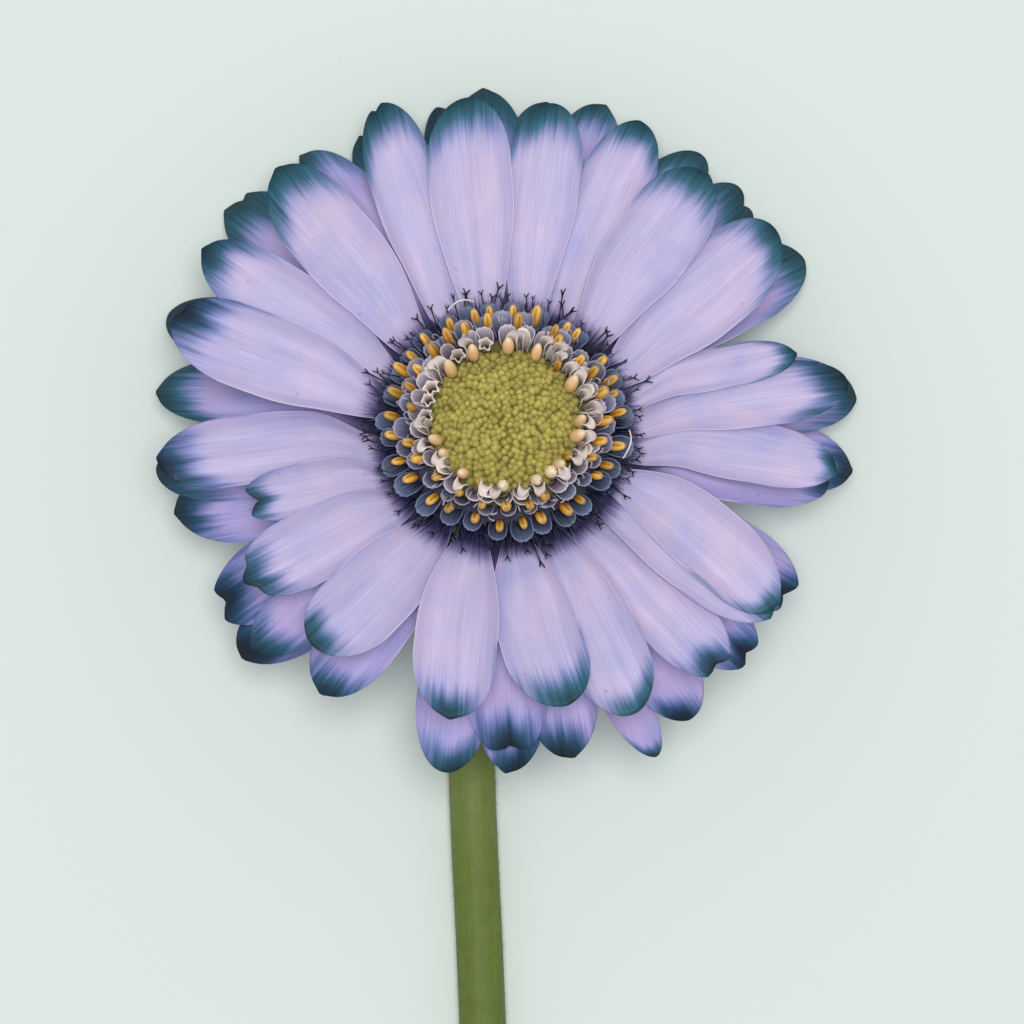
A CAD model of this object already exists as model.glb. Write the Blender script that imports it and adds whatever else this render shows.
import math
import random
from collections import namedtuple

import bpy
import numpy as np
from mathutils import Matrix, Vector


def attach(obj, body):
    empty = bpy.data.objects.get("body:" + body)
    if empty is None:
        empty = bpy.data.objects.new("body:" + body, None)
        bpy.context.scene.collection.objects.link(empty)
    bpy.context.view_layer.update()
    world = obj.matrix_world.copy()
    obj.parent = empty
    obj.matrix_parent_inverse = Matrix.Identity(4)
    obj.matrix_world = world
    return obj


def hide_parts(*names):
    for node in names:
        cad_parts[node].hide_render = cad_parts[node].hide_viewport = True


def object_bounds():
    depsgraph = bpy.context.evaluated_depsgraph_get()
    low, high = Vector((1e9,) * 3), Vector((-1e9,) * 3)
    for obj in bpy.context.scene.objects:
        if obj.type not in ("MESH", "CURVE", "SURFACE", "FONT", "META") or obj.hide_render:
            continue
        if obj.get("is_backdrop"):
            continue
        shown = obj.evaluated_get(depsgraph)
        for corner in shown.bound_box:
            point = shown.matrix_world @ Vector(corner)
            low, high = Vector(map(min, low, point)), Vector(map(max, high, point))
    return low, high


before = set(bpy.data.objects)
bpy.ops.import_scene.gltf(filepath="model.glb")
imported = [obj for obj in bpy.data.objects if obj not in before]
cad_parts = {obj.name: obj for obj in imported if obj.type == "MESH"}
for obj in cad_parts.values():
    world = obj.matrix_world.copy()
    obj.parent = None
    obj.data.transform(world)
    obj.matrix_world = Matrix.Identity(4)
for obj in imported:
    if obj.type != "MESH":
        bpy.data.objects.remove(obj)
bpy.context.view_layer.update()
bpy.ops.object.select_all(action="DESELECT")

# Sizes are in millimetres until a mesh is laid down, which is in metres.
MM = 0.001
chance = random.Random(11)

# The head, as it lies on the table ---------------------------------------------
PLANT_SHIFT = Vector((-0.21, 63.63, 0.01))
HEAD_HEIGHT = 18.0
HEAD_LEAN = math.radians(20)
HEAD_ROLL = math.radians(1)
HEAD_SHIFT = -1.1
HEAD = (
    Matrix.Translation(PLANT_SHIFT + Vector((0, HEAD_SHIFT, HEAD_HEIGHT)))
    @ Matrix.Rotation(-HEAD_LEAN, 4, "X")
    @ Matrix.Rotation(HEAD_ROLL, 4, "Y")
)

RAY_ROOT = 11.9
RAY_LENGTH = 24.0
RAY_THICKNESS = 0.16
RAY_ARCH = 0.38
RAY_ROOT_WIDTH = 0.3
RAY_WIDEST = 0.55
RAY_TIP = 0.3
LAYER = 0.8
ROOT_LAYER = 0.74
LAYER_OPENS = 3.5
ROOT_FOLLOWS = 0.35
RAY_CLEAR = 0.05
CROWN = 4.2
CROWN_TURN = 0.62
OUTER_FALL = 9.7
FRONT_RELIEF = 4.6
FRONT_POWER = 5
DYE_REACH = 0.92
DYE_SPREAD = 0.6
DYE_GATHER = 0.5
# A dried line on one petal: where across it, and from where to where along it.
DRY_WIDTH = 0.03
DRY_LINES = {"inner_ray_floret_19": (-0.25, 0.72, 0.97)}
RAY_COLUMNS = 28
RAY_ROWS = 34
FURROW_DEPTH = 0.1
FURROWS = 2.5

# A ray: azimuth of root and tip, reach, width, depth of the dye at its tip, how navy that dye is,
# dye along its left and right edge, and the notches in its tip (where across, how deep, how wide).
Ray = namedtuple("Ray", "root tip reach width dye_depth ink left right notches")
INNER_RAYS = [
    (48.7, 51, 33.7, 8.9, 4.2, 0.1, 0.0, 0.9, []),
    (100, 97, 34.7, 8.9, 4.4, 0.2, 0.0, 0.0, []),
    (80, 81.5, 34.3, 7.8, 4.6, 0.15, 0.0, 0.3, []),
    (65, 65, 35.1, 7.6, 3.6, 0.2, 0.4, 0.5, []),
    (254.6, 259.7, 31.2, 8.6, 3.2, 0.6, 0.5, 0.0, []),
    (275.8, 281.5, 30.2, 8.6, 3.6, 0.2, 0.8, 0.0, []),
    (293, 293.8, 33.2, 8.2, 2.8, 0.1, 0.7, 0.6, []),
    (334, 325.5, 34, 7.8, 2.2, 0.2, 0.0, 0.9, []),
    (322.5, 323.5, 34.2, 6.8, 2.0, 0.15, 0.3, 0.4, []),
    (309, 310.8, 34.5, 7.5, 3.0, 0.8, 0.0, 0.3, [(0.05, 1.2, 0.4)]),
    (28.3, 35, 35.1, 9.2, 3.8, 0.2, 0.9, 0.0, []),
    (14.4, 12.8, 31.3, 4.4, 2.2, 0.3, 0.5, 0.3, []),
    (4.5, 6, 36.3, 6.6, 4.8, 0.7, 0.2, 0.0, []),
    (353.6, 351.5, 35, 6.4, 1.8, 0.5, 0.0, 0.3, []),
    (236.3, 230.7, 30.7, 8.7, 3.0, 0.4, 0.0, 0.5, []),
    (216, 212, 31.7, 7.7, 3.6, 0.6, 0.0, 0.3, [(-0.35, 0.6, 0.25), (0.35, 0.6, 0.25)]),
    (202, 198, 28.8, 5.6, 2.6, 0.5, 0.0, 0.3, [(0, 1.8, 0.5)]),
    (186.5, 187, 36.5, 7.3, 4.6, 0.9, 0.0, 0.6, []),
    (167.5, 163.2, 36.4, 8.7, 4.8, 0.9, 0.0, 0.8, [(0.25, 0.5, 0.2)]),
    (135.4, 132.5, 35.9, 8.6, 4.6, 0.15, 0.5, 0.0, []),
    (154, 150.7, 36.5, 7.6, 4.2, 0.5, 0.5, 0.0, []),
    (116, 111.3, 36.4, 7.2, 4.8, 0.25, 0.6, 0.4, [(-0.2, 0.7, 0.16)]),
]
OUTER_RAYS = [
    (225, 222.7, 35.7, 6.8, 4.0, 0.6, 0.3, 0.3, []),
    (268, 271, 35.3, 8.6, 4.4, 0.9, 0.0, 0.3, [(0, 1.4, 0.5)]),
    (347, 350, 35.8, 7.6, 3.2, 0.9, 0.0, 0.6, [(0, 0.8, 0.5)]),
    (92, 93.8, 35.9, 8, 7.0, 0.15, 0.0, 0.0, []),
    (124, 127, 36.2, 7.5, 4.6, 0.4, 0.7, 0.0, [(-0.3, 0.6, 0.15)]),
    (76, 73, 35.9, 7.5, 3.8, 0.3, 0.0, 0.6, []),
    (143, 142.3, 37.9, 7.5, 5.4, 0.3, 0.6, 0.0, []),
    (30, 29, 36.7, 8.6, 5.4, 0.3, 0.6, 0.4, []),
    (58, 54, 36, 7, 5.4, 0.2, 0.4, 0.4, []),
    (192, 188.5, 37.6, 7.3, 6.0, 0.5, 0.6, 0.0, []),
    (162, 162.8, 38, 7.5, 6.4, 0.6, 0.5, 0.3, []),
    (238, 236, 34.4, 8.2, 3.6, 0.7, 0.0, 0.4, []),
    (282, 281, 35.9, 7.8, 4.6, 0.9, 0.3, 0.3, []),
    (314, 315.2, 36.4, 8.2, 3.6, 1.0, 0.4, 0.0, [(-0.1, 1.2, 0.4)]),
    (329, 328.5, 36.1, 8.2, 3.6, 1.0, 0.4, 0.0, [(0.1, 1.4, 0.4)]),
    (7, 4.5, 37.8, 8.4, 4.4, 0.5, 0.6, 0.6, []),
    (303, 302, 37, 7.8, 3.2, 1.0, 0.4, 0.4, []),
    (202, 196, 36.3, 8.2, 5.0, 0.8, 0.4, 0.4, []),
    (84, 83.3, 34.8, 7, 4.0, 0.3, 0.0, 0.0, []),
    (103, 102, 34.7, 5, 8.0, 0.6, 0.0, 0.0, []),
    (113, 117, 34.5, 6, 6.0, 0.5, 0.0, 0.0, []),
    (49, 44.8, 36, 6.5, 5.4, 0.2, 0.4, 0.4, []),
    (172, 175, 37.4, 7, 5.2, 0.4, 0.4, 0.3, []),
    (355, 352, 37.4, 7.5, 4.0, 0.9, 0.4, 0.5, []),
    (138, 139, 37.3, 6.6, 5.4, 0.3, 0.5, 0.0, []),
    (213, 214, 36.7, 8.4, 5.4, 1.0, 0.5, 0.5, [(0.15, 1.6, 0.4)]),
    (258, 260.5, 37.4, 7.8, 3.6, 0.5, 0.0, 0.5, []),
    (273, 270.8, 36.8, 7.5, 4.0, 0.9, 0.3, 0.3, []),
    (291, 294, 38.8, 5, 1.6, 0.5, 0.3, 0.3, []),
    (40, 40.7, 35.2, 5.5, 5.0, 0.2, 0.3, 0.3, []),
    (67, 63, 34.6, 5.4, 4.0, 0.2, 0.0, 0.0, []),
    (228, 221.5, 37.4, 8, 5.4, 1.0, 0.5, 0.5, []),
]


# Small helpers -------------------------------------------------------------------
def smooth(t):
    t = np.clip(t, 0, 1)
    return t * t * (3 - 2 * t)


def mesh_arrays(piece):
    """The piece's points and faces, in millimetres. The piece itself is taken away."""
    points = np.array([v.co for v in piece.data.vertices])
    faces = [tuple(face.vertices) for face in piece.data.polygons]
    bpy.data.objects.remove(piece)
    return points, faces


def set_points(piece, points):
    piece.data.vertices.foreach_set("co", np.asarray(points, np.float32).ravel())
    piece.data.update()


def mark_points(piece, name, values):
    layer = piece.data.attributes.new(name, "FLOAT", "POINT")
    layer.data.foreach_set("value", np.asarray(values, np.float32))


def thicken(piece, thickness):
    skin = piece.modifiers.new("skin", "SOLIDIFY")
    skin.thickness = thickness
    skin.offset = 0
    bpy.context.view_layer.objects.active = piece
    bpy.ops.object.modifier_apply(modifier=skin.name)


def on_both_faces(values, points):
    """Values of a sheet's points, once for each of the two faces that thickening gave it."""
    return np.tile(values, len(points) // len(values) + 1)[: len(points)]


def grid(columns, rows):
    """A flat sheet with u from -1 to 1 across it and v from 0 to 1 along it."""
    bpy.ops.mesh.primitive_grid_add(x_subdivisions=columns, y_subdivisions=rows, size=2)
    sheet = bpy.context.object
    points = np.array([v.co for v in sheet.data.vertices])
    return sheet, points[:, 0], (points[:, 1] + 1) / 2


def finished(piece, name, material, slot, *nodes):
    piece.name = name
    piece.data.materials.clear()
    piece.data.materials.append(material)
    piece.data.polygons.foreach_set("use_smooth", [True] * len(piece.data.polygons))
    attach(piece, "root")
    if nodes:
        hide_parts(*nodes)


# Materials -----------------------------------------------------------------------
def colour(code):
    """An sRGB hex colour as the linear colour that the shader takes."""
    parts = [int(code[i : i + 2], 16) / 255 for i in (1, 3, 5)]
    return [c / 12.92 if c <= 0.04045 else ((c + 0.055) / 1.055) ** 2.4 for c in parts] + [1]


def add(tree, kind, inputs=None, stops=None, output=0, **settings):
    """Adds a node with its settings, values and links, and gives back one of its outputs."""
    made = tree.nodes.new("ShaderNode" + kind)
    for name, value in settings.items():
        setattr(made, name, value)
    for name, value in (inputs or {}).items():
        if isinstance(value, bpy.types.NodeSocket):
            tree.links.new(value, made.inputs[name])
        else:
            made.inputs[name].default_value = value
    if stops:
        bands = made.color_ramp.elements
        bands[0].position, bands[0].color = stops[0]
        bands[-1].position, bands[-1].color = stops[-1]
        for position, tint in stops[1:-1]:
            bands.new(position).color = tint
    return made.outputs[output]


def new_material(name):
    made = bpy.data.materials.new(name)
    made.use_nodes = True
    made.node_tree.nodes.clear()
    return made, made.node_tree


def shade_with(tree, base, roughness, bump=None, **values):
    """Ends a material: one principled surface with its base colour, roughness and bump."""
    inputs = {"Base Color": base, "Roughness": roughness}
    if bump is not None:
        inputs["Normal"] = bump
    inputs.update({name.replace("_", " "): value for name, value in values.items()})
    surface = add(tree, "BsdfPrincipled", inputs)
    ending = tree.nodes.new("ShaderNodeOutputMaterial")
    tree.links.new(surface, ending.inputs["Surface"])


def mixed(tree, factor, low, high, blend="MIX"):
    return add(tree, "Mix", {0: factor, 6: low, 7: high}, output=2, data_type="RGBA", blend_type=blend)


def worked(tree, operation, first, second=0.0, third=0.0, clamp=False):
    return add(tree, "Math", {0: first, 1: second, 2: third}, operation=operation, use_clamp=clamp)


def eased(tree, inputs):
    """A range that starts and ends softly."""
    return add(tree, "MapRange", inputs, interpolation_type="SMOOTHSTEP")


def ray_material(name, lilac, pink, blue, shadow, root_end, root_tint):
    """Ray floret: matt lilac skin with fine veins, dye drawn up the veins to a dark tip, navy root."""
    made, tree = new_material(name)
    place = add(tree, "UVMap")
    seed = add(tree, "Attribute", output=2, attribute_name="seed")
    dye = add(tree, "Attribute", output=2, attribute_name="dye")
    ink = add(tree, "Attribute", output=2, attribute_name="ink")
    root = add(tree, "Attribute", output=2, attribute_name="root")
    side = add(tree, "Attribute", output=2, attribute_name="side")
    dry = add(tree, "Attribute", output=2, attribute_name="dry")
    vein_place = add(tree, "VectorMath", {0: place, 1: (2.6, 0.13, 1)}, operation="MULTIPLY")
    veins = add(tree, "TexNoise", {"Vector": vein_place, "W": seed, "Scale": 1.0, "Detail": 4.0,
                                   "Roughness": 0.6}, noise_dimensions="4D")
    thread_place = add(tree, "VectorMath", {0: place, 1: (6.5, 0.16, 1)}, operation="MULTIPLY")
    threads = add(tree, "TexNoise", {"Vector": thread_place, "W": seed, "Scale": 1.0, "Detail": 2.0},
                  noise_dimensions="4D")
    broad_place = add(tree, "VectorMath", {0: place, 1: (0.75, 0.07, 1)}, operation="MULTIPLY")
    broad = add(tree, "TexNoise", {"Vector": broad_place, "W": seed, "Scale": 1.0, "Detail": 2.0},
                noise_dimensions="4D")
    blotch = add(tree, "TexNoise", {"Vector": place, "W": seed, "Scale": 0.17, "Detail": 2.0},
                 noise_dimensions="4D")
    # Lilac ground, pinker and bluer in patches of half a centimetre, streaked along the veins.
    pinker = worked(tree, "MULTIPLY_ADD", blotch, 6.0, -3.1, clamp=True)
    bluer = worked(tree, "MULTIPLY_ADD", blotch, -6.0, 2.85, clamp=True)
    ground = mixed(tree, pinker, colour(lilac), colour(pink))
    ground = mixed(tree, bluer, ground, colour(blue))
    streak = add(tree, "MapRange", {0: broad, 1: 0.3, 2: 0.7, 3: 0.91, 4: 1.05})
    fine = add(tree, "MapRange", {0: threads, 1: 0.3, 2: 0.7, 3: 0.92, 4: 1.07})
    lines = worked(tree, "MULTIPLY", streak, fine)
    ground = mixed(tree, 1.0, ground, lines, "MULTIPLY")
    edge = eased(tree, {0: side, 1: 0.45, 2: 0.95, 3: 0.0, 4: 0.34})
    ground = mixed(tree, edge, ground, colour(shadow))
    # Dye: darkest at the rim of the tip, drawn down the petal in streaks.
    ragged = worked(tree, "MULTIPLY_ADD", broad, 0.8, -0.4)
    ragged = worked(tree, "MULTIPLY_ADD", veins, 0.6, worked(tree, "SUBTRACT", ragged, 0.3))
    weight = worked(tree, "MULTIPLY", dye, 1.4, clamp=True)
    depth = worked(tree, "MULTIPLY_ADD", ragged, weight, dye)
    depth = worked(tree, "DIVIDE", depth, 1.5, clamp=True)
    teal = add(tree, "ValToRGB", {0: depth}, [
        (0.0, colour("#113742")), (0.17, colour("#1c4f5c")), (0.33, colour("#35657a")),
        (0.5, colour("#667ba9")), (0.7, colour("#9c99c9")), (1.0, colour("#bdb0dc"))])
    navy = add(tree, "ValToRGB", {0: depth}, [
        (0.0, colour("#0a1120")), (0.2, colour("#11243a")), (0.38, colour("#234a70")),
        (0.56, colour("#5069a8")), (0.74, colour("#9094cd")), (1.0, colour("#b4abdc"))])
    stain = mixed(tree, ink, teal, navy)
    lit_threads = add(tree, "MapRange", {0: threads, 1: 0.35, 2: 0.65, 3: 0.76, 4: 1.32})
    stain = mixed(tree, 1.0, stain, lit_threads, "MULTIPLY")
    cover = eased(tree, {0: depth, 1: 1.0, 2: 0.3, 3: 0.0, 4: 1.0})
    skin = mixed(tree, cover, ground, stain)
    # Root: navy where it leaves the head, through mauve to lilac.
    rooted = worked(tree, "MULTIPLY_ADD", worked(tree, "SUBTRACT", veins, 0.5), 2.4, root)
    rooted = worked(tree, "DIVIDE", rooted, root_end, clamp=True)
    root_colour = add(tree, "ValToRGB", {0: rooted}, [
        (0.0, colour("#191a36")), (0.28, colour("#2d2c54")), (0.62, colour(root_tint)),
        (1.0, colour(lilac))])
    root_cover = eased(tree, {0: rooted, 1: 1.0, 2: 0.45, 3: 0.0, 4: 1.0})
    skin = mixed(tree, root_cover, skin, root_colour)
    # A few small purple bruises.
    spots = add(tree, "TexVoronoi", {"Vector": place, "W": seed, "Scale": 0.5}, voronoi_dimensions="4D")
    near = eased(tree, {0: spots, 1: 0.05, 2: 0.13, 3: 0.5, 4: 0.0})
    skin = mixed(tree, near, skin, colour("#7f6fb4"))
    # The cut edge of the skin is thin and pale, and one petal has a dried orange-brown line.
    rim = eased(tree, {0: side, 1: 0.965, 2: 0.995, 3: 0.0, 4: 0.7})
    rim = worked(tree, "MULTIPLY", rim, worked(tree, "MULTIPLY", dye, 0.8, clamp=True))
    skin = mixed(tree, rim, skin, colour("#dcd8ee"))
    skin = mixed(tree, dry, skin, colour("#94583e"))
    height = add(tree, "Bump", {"Height": veins, "Strength": 0.4, "Distance": 0.00025})
    shade_with(tree, skin, 0.55, height, Specular_IOR_Level=0.3)
    return made


inner_ray_skin = ray_material("petal_skin_inner", "#c1b7dc", "#cfbddb", "#b0aedd", "#9083b4",
                              4.0, "#7f74a2")
outer_ray_skin = ray_material("petal_skin_outer", "#b2a6d9", "#bba8d6", "#9b9fd4", "#877ab3",
                              7.5, "#6b5f90")


def tinted_material(name, stops, dark, light, roughness, mark_tint=None, grain=8.0, bump=0.3, **values):
    """Small plant parts: colour runs from foot to top, each copy a little darker or lighter."""
    made, tree = new_material(name)
    along = add(tree, "Attribute", output=2, attribute_name="along")
    shade = add(tree, "Attribute", output=2, attribute_name="shade")
    mark = add(tree, "Attribute", output=2, attribute_name="mark")
    base = add(tree, "ValToRGB", {0: along}, [(at, colour(code)) for at, code in stops])
    place = add(tree, "TexCoord", output=3)
    noise = add(tree, "TexNoise", {"Vector": place, "Scale": grain / MM / 10, "Detail": 3.0})
    level = add(tree, "MapRange", {0: shade, 3: dark, 4: light})
    mottle = add(tree, "MapRange", {0: noise, 1: 0.3, 2: 0.7, 3: 0.88, 4: 1.1})
    level = worked(tree, "MULTIPLY", level, mottle)
    base = mixed(tree, 1.0, base, level, "MULTIPLY")
    if mark_tint:
        base = mixed(tree, mark, base, colour(mark_tint))
    height = add(tree, "Bump", {"Height": noise, "Strength": bump, "Distance": 0.0002})
    shade_with(tree, base, roughness, height, **values)
    return made


slate_lip = tinted_material("floret_lip_slate", [(0, "#15172f"), (0.35, "#333b58"), (1, "#5f6c8c")],
                            0.6, 1.3, 0.55, "#8690ae")
pale_lip = tinted_material("floret_lip_pale", [(0, "#2c2838"), (0.4, "#7a7083"), (1, "#bdb1bf")],
                           0.65, 1.18, 0.55, "#e4d8dc")
lilac_lip = tinted_material("floret_lip_lilac", [(0, "#1d1e38"), (0.4, "#4a4e6c"), (1, "#8b8ba8")],
                            0.62, 1.25, 0.55, "#b9b2c8")
white_lip = tinted_material("floret_lip_white", [(0, "#3f342c"), (0.35, "#9a8a84"), (1, "#ecdcd6")],
                            0.82, 1.14, 0.5, "#f4ebe6")
ribbon_skin = tinted_material("floret_ribbon_pale", [(0, "#3a3a55"), (0.5, "#8f8ba3"), (1, "#d8cfd8")],
                              0.6, 1.1, 0.5)
golden_anther = tinted_material("anther_gold",
                                [(0, "#6a3f18"), (0.25, "#c07f20"), (0.6, "#e3a738"), (0.9, "#ecbd62"),
                                 (1, "#a8814e")],
                                0.62, 1.14, 0.45, "#82501a", grain=20.0)
peach_bud = tinted_material("floret_bud_peach",
                            [(0, "#a58a62"), (0.3, "#dcb07c"), (0.75, "#f2c791"), (1, "#f0d6b4")],
                            0.85, 1.1, 0.45, grain=12.0)
pollen = tinted_material("pollen_cream", [(0, "#b98b4a"), (0.5, "#ecd09a"), (1, "#f3e2bd")],
                         0.85, 1.12, 0.8, grain=25.0, bump=0.8)
green_bud = tinted_material("bud_olive",
                            [(0, "#625922"), (0.45, "#80752f"), (0.75, "#9f9342"), (1, "#b7ac58")],
                            0.74, 1.14, 0.75, "#8f7f58", grain=30.0)
navy_hair = tinted_material("bristle_navy", [(0, "#15152e"), (0.6, "#26264d"), (1, "#3b3a66")],
                            0.7, 1.25, 0.6)
dark_style = tinted_material("style_dark", [(0, "#1a1834"), (1, "#0c0b1a")], 0.8, 1.2, 0.4)
white_thread = tinted_material("thread_white", [(0, "#b9b3c4"), (1, "#e4dfe6")], 0.9, 1.1, 0.5)
green_scale = tinted_material("bract_green", [(0, "#5d7038"), (0.6, "#6f8244"), (1, "#5a4a52")],
                              0.8, 1.15, 0.6, "#8fa062", grain=6.0)


# Ray florets -----------------------------------------------------------------------
def ray_half_width(ray, s):
    spread = np.sin(np.pi / 2 * np.clip(s / RAY_WIDEST, 0, 1))
    return ray.width / 2 * (RAY_ROOT_WIDTH + (1 - RAY_ROOT_WIDTH) * spread)


def ray_outline(ray, s):
    t = np.clip((s - (1 - RAY_TIP)) / RAY_TIP, 0, 1)
    return ray_half_width(ray, s) * np.sqrt(1 - t * t)


def ray_end(ray, u):
    end = 1 - RAY_TIP * (1 - np.sqrt(np.clip(1 - u * u, 0, 1)))
    for at, depth, width in ray.notches:
        end = end - depth / (ray.reach - RAY_ROOT) * np.clip(1 - np.abs(u - at) / width, 0, 1)
    return end


def rays_cross(a, b):
    """Whether two rays pass over each other, or nearly, anywhere along them."""
    r = np.arange(RAY_ROOT, min(a.reach, b.reach), 1.0)
    sa = (r - RAY_ROOT) / (a.reach - RAY_ROOT)
    sb = (r - RAY_ROOT) / (b.reach - RAY_ROOT)
    turn = np.radians(a.root + (a.tip - a.root) * sa - b.root - (b.tip - b.root) * sb)
    apart = np.abs(np.arctan2(np.sin(turn), np.cos(turn))) * r
    return bool(np.any(apart < ray_outline(a, sa) + ray_outline(b, sb) + RAY_CLEAR))


def row_height(x, y, outer):
    r = np.hypot(x, y)
    t = np.clip((r - RAY_ROOT) / RAY_LENGTH, 0, 1.2)
    height = HEAD_HEIGHT - y * math.tan(HEAD_LEAN) - x * math.tan(HEAD_ROLL)
    height = height + CROWN * np.sin(np.pi * CROWN_TURN * t)
    if outer:
        front = np.maximum(0, y / r) ** FRONT_POWER
        height = height - (OUTER_FALL - FRONT_RELIEF * front) * t**1.6
    return height


def ray_piece(name, ray, layer, outer):
    sheet, flat_u, v = grid(RAY_COLUMNS, RAY_ROWS)
    root, tip, reach, width, dye_depth, ink, left, right, notches = ray
    length = reach - RAY_ROOT
    seed = chance.uniform(0, 60)
    u = np.sin(np.pi / 2 * flat_u)
    nib = 0.013 * np.exp(-(((u - 0.15 * math.sin(seed)) / 0.13) ** 2))
    nib = nib * (0.5 + 0.5 * math.cos(seed * 3))
    slant = 0.015 * math.sin(seed * 5) * u * (1 - u * u)
    end = ray_end(ray, u) + nib + slant
    s = v * end
    r = RAY_ROOT + s * length
    azimuth = np.radians(root + (tip - root) * s)
    half = ray_half_width(ray, s)
    across = -u * half
    opening = ROOT_LAYER + (1 - ROOT_LAYER) * smooth((r - RAY_ROOT) / LAYER_OPENS)
    sink = layer * LAYER * opening
    rooted = 1 - smooth(s / ROOT_FOLLOWS)
    x = r * np.cos(azimuth) - across * np.sin(azimuth)
    flat = r * np.sin(azimuth) + across * np.cos(azimuth)
    leaning = HEAD_SHIFT + flat * math.cos(HEAD_LEAN) - sink * math.sin(HEAD_LEAN)
    y = flat + (leaning - flat) * rooted
    open_out = smooth(s / 0.25)
    arch = RAY_ARCH * (1 - u * u) * (0.45 + 0.55 * open_out)
    ripple = np.cos(np.pi * FURROWS * (u + 0.2 * math.sin(seed * 7)))
    furrow = -FURROW_DEPTH * ripple * open_out * (1 - 0.6 * s)
    wave = 0.07 * np.sin(3.5 * s + seed) * open_out
    z = row_height(x, y, outer) - sink + arch + furrow + wave
    set_points(sheet, (np.stack([x, y, z], 1) + np.array(PLANT_SHIFT)) * MM)

    to_tip = (end - s) * length
    to_left = (1 + u) * half
    to_right = (1 - u) * half
    # The dye gathers at the apex, or at the notch if there's one; navy dye stays closer to it.
    gather = notches[0][0] * width / 2 if len(notches) == 1 else 0.1 * width * math.sin(seed * 2)
    aside = (DYE_SPREAD + DYE_GATHER * ink) * (u * half - gather)
    dye = np.hypot(to_tip, aside) / (dye_depth * DYE_REACH)
    side_fade = 3.0 * np.clip((0.6 - s) / 0.5, 0, 1)
    for depth, to_side in ((left, to_left), (right, to_right)):
        if depth:
            dye = np.minimum(dye, 0.66 + to_side / depth + side_fade)
    mark_points(sheet, "dye", np.minimum(dye, 4))
    mark_points(sheet, "side", np.abs(u))
    dry = np.zeros(len(u))
    if name in DRY_LINES:
        across_at, start, stop = DRY_LINES[name]
        dry = np.exp(-(((u - across_at - 0.1 * s) / DRY_WIDTH) ** 2))
        dry = dry * smooth((s - start) / DRY_WIDTH) * smooth((stop - s) / DRY_WIDTH)
    mark_points(sheet, "dry", dry)
    mark_points(sheet, "ink", np.full(len(u), ink))
    mark_points(sheet, "root", (r - RAY_ROOT) / chance.uniform(0.7, 1.15))
    mark_points(sheet, "seed", np.full(len(u), seed))
    corners = np.zeros(len(sheet.data.loops), np.int32)
    sheet.data.loops.foreach_get("vertex_index", corners)
    spots = np.stack([u * width / 2, s * length], 1)[corners]
    sheet.data.uv_layers.active.data.foreach_set("uv", spots.astype(np.float32).ravel())
    thicken(sheet, RAY_THICKNESS * MM)
    skin = outer_ray_skin if outer else inner_ray_skin
    slot = "outer_rays" if outer else "inner_rays"
    finished(sheet, name + "_petal", skin, slot, name)


rays = [(Ray(*row), False) for row in INNER_RAYS] + [(Ray(*row), True) for row in OUTER_RAYS]
# Each ray lies one layer under the lowest of the rays over it.
layers = []
for number, (ray, _) in enumerate(rays):
    over = [layers[i] for i in range(number) if rays_cross(ray, rays[i][0])]
    layers.append(1 + max(over) if over else 0)
for number, (ray, outer) in enumerate(rays):
    count = number + 1 - (len(INNER_RAYS) if outer else 0)
    ray_name = ("outer" if outer else "inner") + f"_ray_floret_{count:02d}"
    ray_piece(ray_name, ray, layers[number], outer)


# Florets of the disc ---------------------------------------------------------------
def spread(name, model, places, material, slot, *nodes):
    """Lays copies of a small model, each with its place and its shade, and joins them in one piece."""
    points, faces, along, mark = model
    count = len(points)
    laid = []
    all_faces = []
    for number, (place, _) in enumerate(places):
        turned = np.array(place)
        laid.append(points @ turned[:3, :3].T + turned[:3, 3])
        all_faces += [tuple(corner + number * count for corner in face) for face in faces]
    mesh = bpy.data.meshes.new(name)
    mesh.from_pydata((np.concatenate(laid) * MM).tolist(), [], all_faces)
    piece = bpy.data.objects.new(name, mesh)
    bpy.context.scene.collection.objects.link(piece)
    mark_points(piece, "along", np.tile(along, len(places)))
    mark_points(piece, "mark", np.tile(mark, len(places)))
    mark_points(piece, "shade", np.repeat([shade for _, shade in places], count))
    finished(piece, name, material, slot, *nodes)
    return piece


def stand(azimuth, r, z, lean, spin=0.0, size=(1, 1, 1)):
    """Where a floret stands in the head: its own +Y points outwards, and it leans that way."""
    return (
        HEAD
        @ Matrix.Rotation(math.radians(azimuth - 90), 4, "Z")
        @ Matrix.Translation((0, r, z))
        @ Matrix.Rotation(-math.radians(lean), 4, "X")
        @ Matrix.Rotation(math.radians(spin), 4, "Z")
        @ Matrix.Diagonal((*size, 1))
    )


def lip_model(half_width, depth, length, wrap, flare, teeth):
    """The hood of a floret: a scoop that wraps its outer side, with a toothed rounded end."""
    sheet, u, v = grid(12, 9)
    narrowing = np.sqrt(1 - 0.92 * np.clip((v - 0.45) / 0.55, 0, 1) ** 2)
    turn = u * math.radians(wrap) * narrowing
    widening = 0.62 + 0.38 * smooth(v / 0.6)
    x = half_width * widening * np.sin(turn)
    y = depth * widening * np.cos(turn) + flare * v * v
    z = length * v * (1 + teeth * np.cos(u * 5) * v)
    set_points(sheet, np.stack([x, y, z], 1))
    thicken(sheet, 0.1)
    points, faces = mesh_arrays(sheet)
    rim = np.maximum(np.abs(u) ** 8, smooth((v - 0.88) / 0.12))
    mark = np.clip(0.4 * rim + 0.16 * np.clip(np.cos(u * 17), 0, 1) * v, 0, 1)
    mark = on_both_faces(mark, points)
    along = on_both_faces(v, points)
    return points, faces, along, mark


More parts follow.
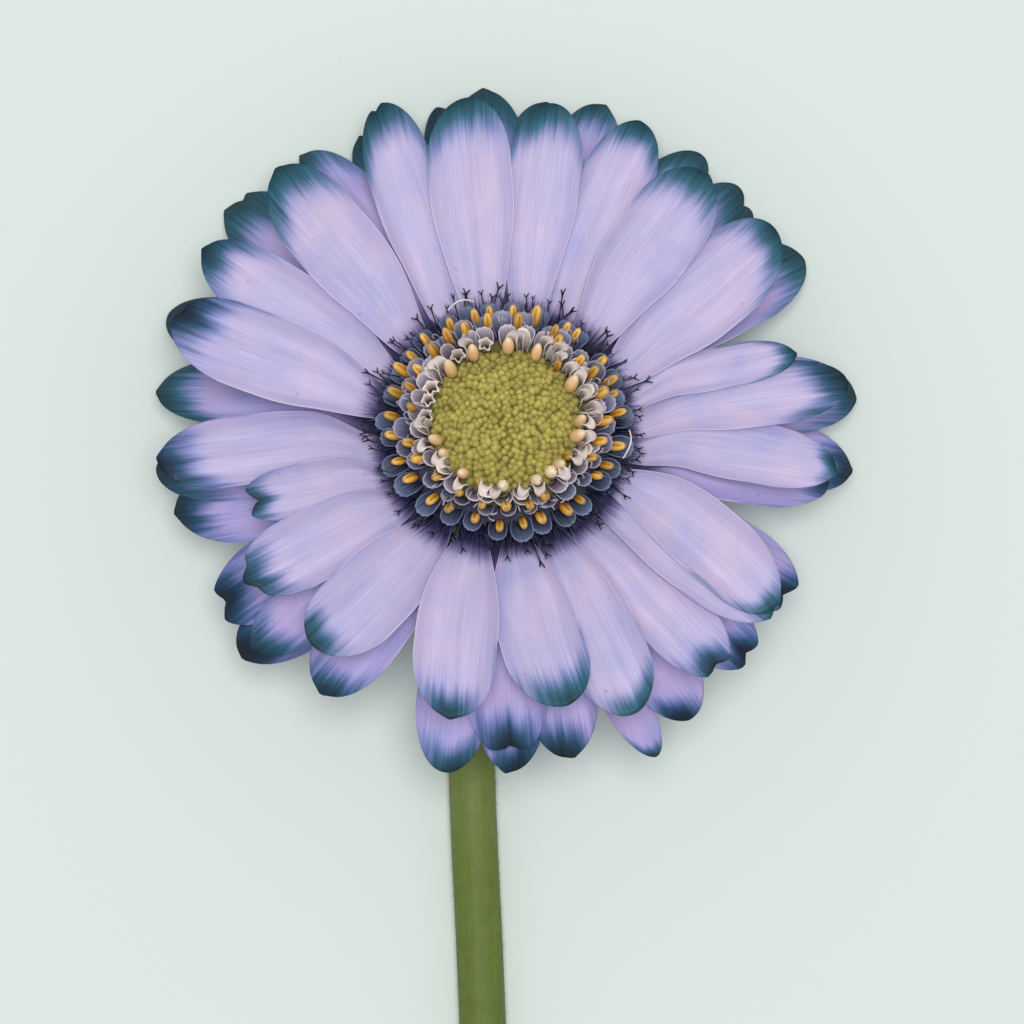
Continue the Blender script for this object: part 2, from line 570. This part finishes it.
def ball_model(segments, rings, size, shape=None):
    """A small ball stretched to a bud: foot at 0, top at 1 along it."""
    bpy.ops.mesh.primitive_uv_sphere_add(segments=segments, ring_count=rings, radius=1)
    points, faces = mesh_arrays(bpy.context.object)
    along = (points[:, 2] + 1) / 2
    mark = np.zeros(len(points))
    if shape:
        points, mark = shape(points, along)
    return points * np.array(size), faces, along, mark


def grooved(points, along):
    """An anther: two halves with a dark seam between them, blunt at the top."""
    seam = np.exp(-((points[:, 0] / 0.22) ** 2)) * (points[:, 1] < 0.3)
    shaped = points.copy()
    shaped[:, 1] += 0.3 * seam * (along > 0.08) * (along < 0.92)
    return shaped, 0.75 * seam * (along < 0.9)


def pointed(points, along):
    """A closed bud: a little narrower towards its top."""
    shaped = points.copy()
    shaped[:, :2] *= (1.05 - 0.35 * along)[:, None]
    return shaped, np.zeros(len(points))


def grainy(points, _):
    """A floret's tip under a heap of pollen."""
    wave = np.sin(points[:, 0] * 9) * np.sin(points[:, 1] * 9 + 1) * np.sin(points[:, 2] * 9 + 2)
    return points * (1 + 0.16 * wave)[:, None], np.zeros(len(points))


def curl_model(half_width, bend, height, radius, sweep):
    """A thin lip that stands up and then rolls back outwards, narrower towards its end."""
    sheet, u, v = grid(8, 14)
    rolled = np.clip((v - 0.5) / 0.5, 0, 1) * math.radians(sweep)
    x = half_width * np.sin(u * bend) * (1 - 0.4 * v)
    y = half_width * 0.8 * (np.cos(u * bend) - 1) + radius * (1 - np.cos(rolled)) + 0.1 * v
    z = height * np.clip(v / 0.5, 0, 1) + radius * np.sin(rolled)
    set_points(sheet, np.stack([x, y, z], 1))
    thicken(sheet, 0.09)
    points, faces = mesh_arrays(sheet)
    along = on_both_faces(v, points)
    return points, faces, along, 0.5 * on_both_faces(np.abs(u) ** 4, points)


def lumpy(points, along):
    """A green bud: a ball with uneven sides, its top drawn a little aside."""
    wave = np.sin(points[:, 0] * 3 + 1) * np.cos(points[:, 1] * 3.4)
    wave = wave + 0.5 * np.sin(points[:, 2] * 4 + points[:, 0] * 2)
    shaped = points * (1 + 0.13 * wave)[:, None]
    shaped[:, 0] += 0.12 * along
    return shaped, np.zeros(len(points))


def cup_model():
    """An open floret seen from above: a short tube with five curled lobes and a dark throat."""
    sheet, u, v = grid(25, 7)
    turn = u * math.pi
    lobes = 0.5 + 0.5 * np.cos(turn * 5)
    radius = 0.34 + 0.2 * v + 0.38 * lobes * v**3
    z = 1.5 * v - 0.35 * lobes * v**5
    set_points(sheet, np.stack([radius * np.sin(turn), radius * np.cos(turn), z], 1))
    thicken(sheet, 0.08)
    points, faces = mesh_arrays(sheet)
    along = on_both_faces(v, points)
    return points, faces, along, np.zeros(len(points))


slate_hood = lip_model(1.12, 0.75, 2.9, 105, 0.4, 0.03)
small_hood = lip_model(0.95, 0.62, 2.5, 110, 0.35, 0.03)
white_hood = lip_model(0.8, 0.55, 2.3, 95, 0.9, 0.03)
anther = ball_model(12, 10, (0.5, 0.5, 1.25), grooved)
bud = ball_model(12, 9, (0.74, 0.74, 1.45), pointed)
grain_cone = ball_model(16, 14, (0.62, 0.62, 1.1), grainy)
throat = cup_model()
wide_curl = curl_model(0.85, 1.3, 1.9, 0.45, 185)
ribbon = curl_model(0.2, 0.6, 1.9, 0.34, 230)

RING_FLORETS = 30
RING_TURN = 360 / RING_FLORETS
RIBBONS = 64
outer_hoods = []
outer_anthers = []
for i in range(RING_FLORETS):
    azimuth = i * RING_TURN + chance.uniform(-2.5, 2.5)
    lean = chance.uniform(42, 66)
    foot = chance.uniform(10.3, 10.7)
    shade = chance.random()
    wide = chance.uniform(0.8, 1.08)
    place = stand(azimuth, foot, 1.9, lean, chance.uniform(-22, 22), (wide, wide, wide))
    outer_hoods.append((place, shade))
    out = foot + math.sin(math.radians(lean)) * 1.75
    up = 2.05 + math.cos(math.radians(lean)) * 1.75
    size = chance.uniform(0.82, 1.12)
    place = stand(azimuth + chance.uniform(-2, 2), out - 0.15, up + 0.25, lean - 4, chance.uniform(-25, 25),
                  (size, size, size))
    outer_anthers.append((place, chance.random()))
middle_hoods = []
for i in range(RING_FLORETS):
    azimuth = (i + 0.5) * RING_TURN + chance.uniform(-2.5, 2.5)
    lean = chance.uniform(26, 52)
    foot = chance.uniform(9.0, 9.5)
    wide = chance.uniform(0.78, 1.15)
    place = stand(azimuth, foot, 2.5, lean, chance.uniform(-30, 30), (wide, wide, wide))
    middle_hoods.append((place, chance.random()))
    if chance.random() < 0.86:
        out = foot + math.sin(math.radians(lean)) * 1.7
        up = 2.7 + math.cos(math.radians(lean)) * 1.7
        size = chance.uniform(0.85, 1.15)
        place = stand(azimuth + chance.uniform(-3, 3), out, up + 0.2, lean, chance.uniform(-30, 30),
                      (size, size, size))
        outer_anthers.append((place, chance.random()))

# The innermost ring, floret by floret round the disc: its azimuth and what it is.
INNER_RING = [
    (116, "bud"), (105, "open"), (88, "bud"), (77, "white"), (65.5, "bud"), (55, "white"), (46, "gold"),
    (36, "white"), (27.6, "bud"), (18, "white"), (8, "white"), (356, "bud"), (343.6, "bud"), (336, "white"),
    (325, "gold"), (315.5, "bud"), (307, "pollen"), (293.9, "pollen"), (281, "white"), (268, "pollen"),
    (258, "white"), (250, "gold"), (235.5, "bud"), (225, "white"), (214, "bud"), (200.6, "bud"),
    (190, "white"), (181, "open"), (168, "open"), (159, "open"), (146, "white"), (138, "bud"), (127, "open"),
]
ring_parts = {"bud": [], "open": [], "white": [], "gold": [], "pollen": []}
ring_hoods = []
curls = []
ribbons = []
for i in range(RIBBONS):
    azimuth = i * 360 / RIBBONS + chance.uniform(-2.5, 2.5)
    place = stand(azimuth, chance.uniform(8.6, 10.4), 2.6, chance.uniform(10, 46), chance.uniform(-90, 90),
                  (chance.uniform(0.6, 1.3), 1, chance.uniform(0.75, 1.05)))
    ribbons.append((place, chance.random()))
for azimuth, kind in INNER_RING:
    lean = chance.uniform(8, 26)
    shade = chance.random()
    size = chance.uniform(0.88, 1.12)
    place = stand(azimuth + chance.uniform(-3, 3), 8.2, 2.7, lean + 14, chance.uniform(-35, 35))
    ring_hoods.append((place, shade))
    if kind != "open":
        place = stand(azimuth + chance.uniform(-5, 5), chance.uniform(8.2, 8.7), 2.9, lean - 6,
                      chance.uniform(-45, 45), (size, size, size))
        curls.append((place, chance.random()))
    if kind == "white":
        place = stand(azimuth, 7.8, 2.9, lean, chance.uniform(-50, 50))
    elif kind == "open":
        place = stand(azimuth, 8.1, 3.1, lean, chance.uniform(0, 60), (size, size, size))
    else:
        place = stand(azimuth, 7.85, 4.2, lean, chance.uniform(0, 60), (size, size, size))
    ring_parts[kind].append((place, shade))

spread("outer_floret_hoods", slate_hood, outer_hoods, slate_lip, "outer_florets", "outer_disc_florets")
spread("outer_floret_anthers", anther, outer_anthers + ring_parts["gold"], golden_anther, "outer_florets")
spread("middle_floret_hoods", small_hood, middle_hoods, lilac_lip, "inner_florets", "inner_disc_florets")
spread("inner_floret_hoods", small_hood, ring_hoods, pale_lip, "inner_florets")
spread("inner_floret_white_hoods", white_hood, ring_parts["white"], white_lip, "inner_florets")
spread("inner_floret_curls", wide_curl, curls, white_lip, "inner_florets")
spread("floret_ribbons", ribbon, ribbons, ribbon_skin, "inner_florets")
spread("inner_floret_open", throat, ring_parts["open"], white_lip, "inner_florets")
spread("inner_floret_buds", bud, ring_parts["bud"], peach_bud, "inner_florets")
spread("inner_floret_pollen", grain_cone, ring_parts["pollen"], pollen, "inner_florets")

# Closed buds of the middle -----------------------------------------------------------
DOME_RADIUS = 7.7
DOME_EDGE = 2.5
DOME_RISE = 1.75
DOME_BUDS = 500
BUD_SINK = 0.42
GOLDEN_TURN = math.radians(137.508)


def dome_height(r):
    return DOME_EDGE + DOME_RISE * (1 - (r / DOME_RADIUS) ** 2)


dome_bud = ball_model(9, 7, (0.56, 0.52, 0.7), lumpy)
bud_places = []
for i in range(DOME_BUDS):
    r = DOME_RADIUS * math.sqrt((i + 0.5) / DOME_BUDS) + chance.uniform(-0.07, 0.07)
    azimuth = math.degrees(i * GOLDEN_TURN) % 360 + chance.uniform(-14, 14) / max(r, 1)
    size = (0.84 + 0.24 * r / DOME_RADIUS) * chance.uniform(0.84, 1.16)
    tilt = 26 * (r / DOME_RADIUS) ** 2 + chance.uniform(-9, 9)
    foot = dome_height(r) - BUD_SINK + chance.uniform(-0.14, 0.14)
    place = stand(azimuth, r, foot, tilt, chance.uniform(0, 360),
                  (size * chance.uniform(0.85, 1.15), size, size))
    bud_places.append((place, max(0, chance.random() - 0.5 * (r / DOME_RADIUS) ** 6)))
spread("disc_green_buds", dome_bud, bud_places, green_bud, "buds")


def lathed(name, profile, material, slot, *nodes):
    """A round body about the head's axis: a ball with its rings moved onto a profile, top to foot."""
    bpy.ops.mesh.primitive_uv_sphere_add(segments=96, ring_count=40, radius=1)
    body = bpy.context.object
    points = np.array([v.co for v in body.data.vertices])
    t = np.arccos(np.clip(points[:, 2], -1, 1)) / np.pi
    steps = np.linspace(0, 1, len(profile))
    r = np.interp(t, steps, [p[0] for p in profile])
    z = np.interp(t, steps, [p[1] for p in profile])
    azimuth = np.arctan2(points[:, 1], points[:, 0])
    local = np.stack([r * np.cos(azimuth), r * np.sin(azimuth), z], 1)
    turned = np.array(HEAD)
    set_points(body, (local @ turned[:3, :3].T + turned[:3, 3]) * MM)
    for layer_name, values in (("along", 1 - t), ("mark", 0 * t), ("shade", 0 * t + 0.5)):
        mark_points(body, layer_name, values)
    finished(body, name, material, slot, *nodes)


bud_floor = tinted_material("bud_bed_olive", [(0, "#5f5722"), (1, "#7a7030")], 0.9, 1.1, 0.8, grain=20.0)
pad_skin = tinted_material("receptacle_skin",
                           [(0, "#8b9a58"), (0.45, "#7b8b4c"), (0.6, "#3a3c52"), (1, "#20203a")],
                           0.9, 1.1, 0.7, grain=6.0)
lathed("disc_bud_bed", [(0, 3.95), (2.5, 3.8), (5, 3.3), (7.2, 2.5), (9.4, 2.1), (8.5, 1.2), (0, 1.2)],
       bud_floor, "buds", "disc_buds")
lathed("receptacle_pad",
       [(0, 1.9), (8, 2.1), (10.4, 2.0), (11.5, 1.2), (11.7, -0.5), (11.6, -3.6), (10.8, -5.6),
        (8.6, -7.4), (5.4, -8.8), (2.4, -9.6), (0, -9.6)],
       pad_skin, "receptacle", "receptacle")

# Navy bristles and dark forked styles round the ring ----------------------------------
BRISTLES = 1100
STYLES = 84
FORK_AT = 2.22


def cone_model(sides, low_radius, high_radius, length):
    bpy.ops.mesh.primitive_cone_add(vertices=sides, radius1=low_radius, radius2=high_radius,
                                    depth=length, location=(0, 0, length / 2))
    cone = bpy.context.object
    bpy.ops.object.transform_apply(location=True)
    points, faces = mesh_arrays(cone)
    return points, faces, points[:, 2] / length, np.zeros(len(points))


def joined(*models):
    points = np.concatenate([m[0] for m in models])
    faces = []
    start = 0
    for m in models:
        faces += [tuple(corner + start for corner in face) for face in m[1]]
        start += len(m[0])
    along = np.concatenate([m[2] for m in models])
    mark = np.concatenate([m[3] for m in models])
    return points, faces, along, mark


def moved(model, place):
    turned = np.array(place)
    return model[0] @ turned[:3, :3].T + turned[:3, 3], model[1], model[2], model[3]


bristle = cone_model(4, 0.07, 0.015, 1.0)
bristle_places = []
for i in range(BRISTLES):
    azimuth = chance.uniform(0, 360)
    length = chance.uniform(1.6, 3.0) * (1.15 if chance.random() < 0.3 else 0.9)
    place = stand(azimuth, chance.uniform(11.0, 11.9), chance.uniform(1.0, 2.0), chance.uniform(66, 96),
                  0, (1, 1, length)) @ Matrix.Rotation(math.radians(chance.uniform(-24, 24)), 4, "Y")
    bristle_places.append((place, chance.random()))
spread("pappus_bristles", bristle, bristle_places, navy_hair, "outer_florets")

stalk = cone_model(5, 0.09, 0.075, 2.3)
arm = cone_model(5, 0.09, 0.06, 0.58)
fork = joined(
    stalk,
    moved(arm, Matrix.Translation((0, 0, FORK_AT)) @ Matrix.Rotation(math.radians(38), 4, "Y")),
    moved(arm, Matrix.Translation((0, 0, FORK_AT)) @ Matrix.Rotation(math.radians(-34), 4, "Y")),
)
style_places = []
for i in range(STYLES):
    azimuth = i * 360 / STYLES + chance.uniform(-5, 5)
    size = chance.uniform(0.75, 1.2)
    place = stand(azimuth, chance.uniform(12.1, 12.8), chance.uniform(1.6, 2.2), chance.uniform(64, 88),
                  0, (size, size, size * chance.uniform(0.7, 1.25)))
    bent = Matrix.Rotation(math.radians(chance.uniform(-34, 34)), 4, "Y")
    spun = Matrix.Rotation(math.radians(chance.uniform(-60, 60)), 4, "Z")
    style_places.append((place @ bent @ spun, chance.random()))
spread("dark_styles", fork, style_places, dark_style, "outer_florets")

# Two pale loose threads beside the ring: azimuth of both ends, distance from the middle, rise.
THREADS = [(104, 116, 13.7, 0.5), (341, 355, 13.0, 0.7)]
THREAD_STEPS = 14
THREAD_RADIUS = 0.09
THREAD_FOOT = 3.0
THREAD_BEND = 0.35
THREAD_SHADE = 0.8


def tube(points, radius, roundness, twist):
    """A round tube along a line of points, closed at both ends."""
    bpy.ops.curve.primitive_nurbs_path_add()
    path = bpy.context.object
    path.data.splines.clear()
    line = path.data.splines.new("POLY")
    line.points.add(len(points) - 1)
    for corner, point in zip(line.points, points):
        corner.co = (*(point * MM), 1)
    path.data.bevel_depth = radius * MM
    path.data.bevel_resolution = roundness
    path.data.use_fill_caps = True
    path.data.twist_mode = twist
    bpy.ops.object.convert(target="MESH")
    return bpy.context.object


for number, (start, stop, distance, rise) in enumerate(THREADS):
    thread_points = []
    for i in range(THREAD_STEPS + 1):
        share = i / THREAD_STEPS
        azimuth = math.radians(start + (stop - start) * share)
        swell = math.sin(math.pi * share)
        r = distance + THREAD_BEND * swell
        bend = Vector((r * math.cos(azimuth), r * math.sin(azimuth), THREAD_FOOT + rise * swell))
        thread_points.append(HEAD @ bend)
    thread = tube(thread_points, THREAD_RADIUS, 2, "MINIMUM")
    for layer_name, value in (("along", THREAD_SHADE), ("shade", THREAD_SHADE), ("mark", 0)):
        mark_points(thread, layer_name, np.full(len(thread.data.vertices), value))
    finished(thread, f"pale_thread_{number + 1}", white_thread, "outer_florets")

# Bracts -----------------------------------------------------------------------------------
CUP_PROFILE = [(3.3, -10.1), (5.7, -9.6), (9.2, -8.0), (11.7, -5.3), (12.3, -3.6), (12.5, -2.2)]


def bract_model(start, end, lift, half_width):
    """One scale of the cup: a lance that follows the cup from start to end, its tip a little free."""
    sheet, u, v = grid(7, 14)
    t = start + (end - start) * v
    steps = np.linspace(0, 1, len(CUP_PROFILE))
    r = np.interp(t, steps, [p[0] for p in CUP_PROFILE]) + lift * (0.6 + 0.8 * v)
    z = np.interp(t, steps, [p[1] for p in CUP_PROFILE]) - lift * 0.7 * (1 - v)
    width = half_width * np.sin(np.pi * (0.18 + 0.82 * v)) ** 0.7 * (1 - 0.25 * v)
    keel = 0.16 * (1 - u * u)
    turn = u * width / np.maximum(r, 1)
    radius = r + keel
    set_points(sheet, np.stack([radius * np.sin(turn), radius * np.cos(turn), z], 1))
    thicken(sheet, 0.16)
    points, faces = mesh_arrays(sheet)
    along = on_both_faces(v, points)
    mark = on_both_faces(0.6 * np.exp(-((u / 0.2) ** 2)), points)
    return points, faces, along, mark


# The rows: start and end along the cup, how far it stands off, half its width, how many scales.
scale_rows = [(0.3, 1.0, 0.05, 1.7, 22), (0.12, 0.78, 0.35, 1.5, 18), (0.0, 0.5, 0.6, 1.2, 12)]
for number, (start, end, lift, half_width, count) in enumerate(scale_rows):
    model = bract_model(start, end, lift, half_width)
    places = []
    for i in range(count):
        turn = (i + 0.5 * (number % 2)) / count * 2 * math.pi + chance.uniform(-0.05, 0.05)
        places.append((HEAD @ Matrix.Rotation(turn, 4, "Z"), chance.random()))
    if number == 0:
        spread("bract_row_top", model, places, green_scale, "bracts", "involucral_bracts")
    else:
        spread("bract_row_" + ("middle" if number == 1 else "low"), model, places, green_scale, "bracts")

# Stem ---------------------------------------------------------------------------------------
STEM_RADIUS = 2.55
STEM_SKIN_RADIUS = STEM_RADIUS - 0.03
STEM_PATH = [
    (0.6, -163, STEM_RADIUS), (-0.4, -135, STEM_RADIUS), (-1.4, -98, STEM_RADIUS),
    (-2.5, -63.5, STEM_RADIUS), (-3.6, -38, STEM_RADIUS), (-3.5, -22, STEM_RADIUS),
    (-2.2, -14.6, 2.65), (-0.95, -8.5, 3.8), (-0.2, -5.45, 6.2), (0, -4.55, 8.55),
]
STEM_END = PLANT_SHIFT.y + STEM_PATH[0][1]
PALE_FROM = (STEM_END + 0.22) * MM
PALE_TO = (STEM_END + 0.17) * MM
HAIRS = 3600
HAIR_FOOT_RADIUS = STEM_RADIUS - 0.06
HAIR_LOWEST = 0.45
HAIRLESS_STEPS = 12


def stem_line(steps):
    """Points along the middle of the stem, rounded through the points of its path."""
    points = [Vector(p) for p in STEM_PATH]
    points = [2 * points[0] - points[1]] + points + [2 * points[-1] - points[-2]]
    line = []
    for i in range(1, len(points) - 2):
        a, b, c, d = points[i - 1 : i + 3]
        for k in range(steps):
            t = k / steps
            line.append(0.5 * (2 * b + (c - a) * t + (2 * a - 5 * b + 4 * c - d) * t**2
                               + (3 * b - a - 3 * c + d) * t**3))
    line.append(points[-2])
    return line


stem_points = stem_line(10)
stem = tube([point + PLANT_SHIFT for point in stem_points], STEM_SKIN_RADIUS, 10, "Z_UP")

# Stem: matt green with fine fibres along it, greyer and paler towards the head.
stem_skin, tree = new_material("stem_skin")
spot = add(tree, "TexCoord", output=3)
parts = add(tree, "SeparateXYZ", {0: spot})
height_share = add(tree, "MapRange", {0: parts.node.outputs[1], 1: -0.02, 2: 0.055})
ground = add(tree, "ValToRGB", {0: height_share}, [
    (0.0, colour("#5a6b2a")), (0.45, colour("#62742e")),
    (0.8, colour("#7b894c")), (1.0, colour("#91986f"))])
stretched = add(tree, "VectorMath", {0: spot, 1: (1500, 120, 1500)}, operation="MULTIPLY")
fibres = add(tree, "TexNoise", {"Vector": stretched, "Scale": 1.0, "Detail": 4.0})
mottle = add(tree, "TexNoise", {"Vector": spot, "Scale": 600.0, "Detail": 3.0})
level = worked(tree, "MULTIPLY",
               add(tree, "MapRange", {0: fibres, 1: 0.3, 2: 0.7, 3: 0.94, 4: 1.05}),
               add(tree, "MapRange", {0: mottle, 1: 0.3, 2: 0.7, 3: 0.92, 4: 1.08}))
ground = mixed(tree, 1.0, ground, level, "MULTIPLY")
# The cut end is pale.
cut = add(tree, "MapRange", {0: parts.node.outputs[1], 1: PALE_FROM, 2: PALE_TO, 3: 0.0, 4: 0.8})
ground = mixed(tree, cut, ground, colour("#c3cb98"))
dent = add(tree, "Bump", {"Height": fibres, "Strength": 0.4, "Distance": 0.0003})
shade_with(tree, ground, 0.6, dent, Specular_IOR_Level=0.3)
finished(stem, "stem_green", stem_skin, "stem", "stem")

hair = cone_model(3, 0.03, 0.008, 1.0)
stem_hair = tinted_material("stem_hair", [(0, "#8f9d62"), (1, "#c7cda8")], 0.85, 1.1, 0.6)
hair_places = []
for i in range(HAIRS):
    at = chance.uniform(0, len(stem_points) - HAIRLESS_STEPS)
    low = int(at)
    share = at - low
    point = stem_points[low].lerp(stem_points[low + 1], share)
    run = (stem_points[low + 1] - stem_points[low]).normalized()
    side = run.orthogonal().normalized()
    outward = Matrix.Rotation(chance.uniform(0, 2 * math.pi), 4, run) @ side
    aim = (outward + run * chance.uniform(-0.5, 0.5)).to_track_quat("Z", "Y").to_matrix().to_4x4()
    length = chance.uniform(0.2, 0.42)
    spot_at = point + PLANT_SHIFT + outward * HAIR_FOOT_RADIUS
    if spot_at.z < HAIR_LOWEST:
        continue
    place = Matrix.Translation(spot_at) @ aim @ Matrix.Diagonal((1, 1, length, 1))
    hair_places.append((place, chance.random()))
spread("stem_hairs", hair, hair_places, stem_hair, "stem")

# Table, light and camera -------------------------------------------------------------------
TABLE_SIZE = 4
LAMP_SIZE = 0.4
LAMP_POWER = 8.1
LAMP_PLACE = (0.02, 0.12, 1.15)
LAMP_AIM = Vector((0, 0.06, 0))
ROOM_LIGHT = 0.5
LENS = 178.5
CAMERA_SHIFT = Vector((0.74, -9.75, 0))
CAMERA_HEIGHT = 0.552

bpy.ops.mesh.primitive_plane_add(size=TABLE_SIZE, location=(0, 0, 0))
table = bpy.context.object
table.name = "table_top"
table_paint, tree = new_material("table_paint_mint")
shade_with(tree, colour("#dae4de"), 0.9, Specular_IOR_Level=0.1)
table.data.materials.append(table_paint)
table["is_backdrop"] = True

world = bpy.data.worlds.new("studio")
bpy.context.scene.world = world
world.use_nodes = True
backdrop = world.node_tree.nodes["Background"]
backdrop.inputs["Color"].default_value = colour("#f6f8fa")
backdrop.inputs["Strength"].default_value = ROOM_LIGHT

lamp_data = bpy.data.lights.new("softbox", "AREA")
lamp_data.shape = "DISK"
lamp_data.size = LAMP_SIZE
lamp_data.energy = LAMP_POWER
lamp = bpy.data.objects.new("softbox", lamp_data)
bpy.context.scene.collection.objects.link(lamp)
lamp.location = LAMP_PLACE
lamp.rotation_euler = (LAMP_AIM - lamp.location).to_track_quat("-Z", "Y").to_euler()
lamp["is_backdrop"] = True

camera_data = bpy.data.cameras.new("camera")
camera_data.sensor_width = 36
camera_data.lens = LENS
camera = bpy.data.objects.new("camera", camera_data)
bpy.context.scene.collection.objects.link(camera)
middle = (PLANT_SHIFT + CAMERA_SHIFT) * MM
camera.location = (middle.x, middle.y, CAMERA_HEIGHT)
bpy.context.scene.camera = camera
bpy.context.scene.view_settings.view_transform = "Standard"

low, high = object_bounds()
